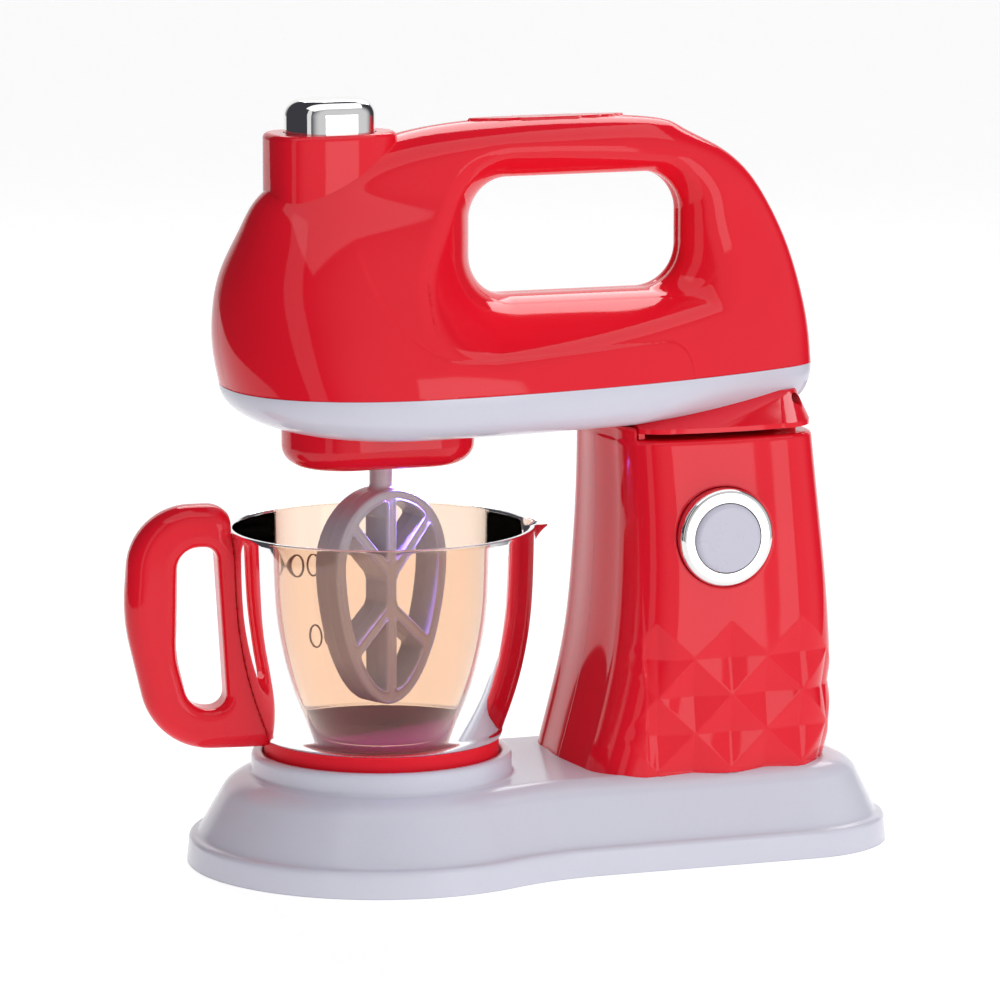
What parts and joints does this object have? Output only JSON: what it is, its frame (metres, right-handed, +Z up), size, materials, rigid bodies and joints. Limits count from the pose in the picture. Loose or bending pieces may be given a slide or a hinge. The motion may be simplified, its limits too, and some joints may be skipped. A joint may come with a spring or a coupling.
{
  "type": "toy stand mixer",
  "caption": "Toy stand mixer with a tilting head, turning beater, clear bowl with side handle, push buttons and a column on a stepped base.",
  "frame": {"origin": "on the table under the middle of the base, on the flat underside of the base plate", "axes": "+Z up, -X towards the nose and the bowl, +X towards the column, -Y the side with the push button"},
  "size_m": [0.2406, 0.121, 0.2366],
  "materials": {
    "coral_plastic": "glossy coral red",
    "pale_plastic": "glossy pale grey white",
    "chrome_trim": "mirror bright plating",
    "amber_clear": "clear smoky amber",
    "cap_plastic": "glossy pale",
    "inner_plastic": "plain moulded",
    "black_plastic": "plain moulded",
    "gear_plastic": "natural white, smooth",
    "screw_steel": "zinc plated",
    "steel": "ground",
    "spring_steel": "drawn wire",
    "board": "green laminate",
    "cell_wrap": "plain dark wrap",
    "contact_metal": "nickel plated",
    "lamp_clear": "clear, violet tint"
  },
  "bodies": {
    "stand": {"base_shell": "pale_plastic", "base_plate": "pale_plastic", "base_screws": "screw_steel", "battery_box": "inner_plastic", "battery_door": "pale_plastic", "battery_door_screw": "screw_steel", "batteries": "cell_wrap", "battery_contacts": "contact_metal", "column_shell_left": "coral_plastic", "column_shell_right": "coral_plastic", "column_screws": "screw_steel", "column_split_screws": "screw_steel", "hinge_pin": "steel", "button_ring": "chrome_trim", "side_switch_board": "board", "side_button_spring": "spring_steel"},
    "head": {"head_shell_left": "coral_plastic", "head_shell_right": "coral_plastic", "head_tray": "pale_plastic", "neck_block": "coral_plastic", "chin_cover": "coral_plastic", "button_turret": "coral_plastic", "head_split_screws": "screw_steel", "head_floor_screws": "screw_steel", "top_switch_board": "board", "top_button_spring": "spring_steel", "led_board": "board", "led_lamp": "lamp_clear", "led_lens": "lamp_clear", "motor": "steel", "gear_axle": "steel", "gearbox_base": "black_plastic", "gearbox_cover": "black_plastic", "gearbox_screws": "screw_steel"},
    "beater": {"beater_paddle": "pale_plastic", "beater_spindle": "steel", "beater_gear": "gear_plastic"},
    "idler": {"reduction_gear": "gear_plastic"},
    "pinion": {"motor_pinion": "gear_plastic", "motor_shaft": "steel"},
    "bowl": {"bowl_body": "amber_clear", "bowl_cup": "coral_plastic", "bowl_handle": "coral_plastic"},
    "top_button": {"top_button": "chrome_trim"},
    "side_button": {"side_button_cap": "cap_plastic"}
  },
  "joints": [
    {"name": "head_tilt", "type": "hinge", "parent": "stand", "child": "head", "pos_m": [0.081, 0, 0.139], "axis": [0, 1, 0], "range_deg": [0, 45]},
    {"name": "beater_spin", "type": "hinge", "parent": "head", "child": "beater", "pos_m": [-0.05, 0, 0.145], "axis": [0, 0, 1], "continuous": true},
    {"name": "idler_spin", "type": "hinge", "parent": "head", "child": "idler", "pos_m": [-0.0638, 0, 0.146], "axis": [0, 0, 1], "continuous": true},
    {"name": "pinion_spin", "type": "hinge", "parent": "head", "child": "pinion", "pos_m": [-0.0776, 0, 0.149], "axis": [0, 0, 1], "continuous": true},
    {"name": "bowl_lift", "type": "slide", "parent": "stand", "child": "bowl", "axis": [0, 0, 1], "range_m": [0, 0.006]},
    {"name": "top_button_press", "type": "slide", "parent": "head", "child": "top_button", "axis": [0, 0, -1], "range_m": [0, 0.003], "stiffness_N_per_m": 400, "springref_m": -0.0015, "deforming": ["top_button_spring"]},
    {"name": "side_button_press", "type": "slide", "parent": "stand", "child": "side_button", "axis": [0, 1, 0], "range_m": [0, 0.0025], "stiffness_N_per_m": 400, "springref_m": -0.001, "deforming": ["side_button_spring"]}
  ],
  "couplings": [
    {"joint": "idler_spin", "follows": "beater_spin", "ratio": -3.6},
    {"joint": "pinion_spin", "follows": "beater_spin", "ratio": 12.96}
  ]
}
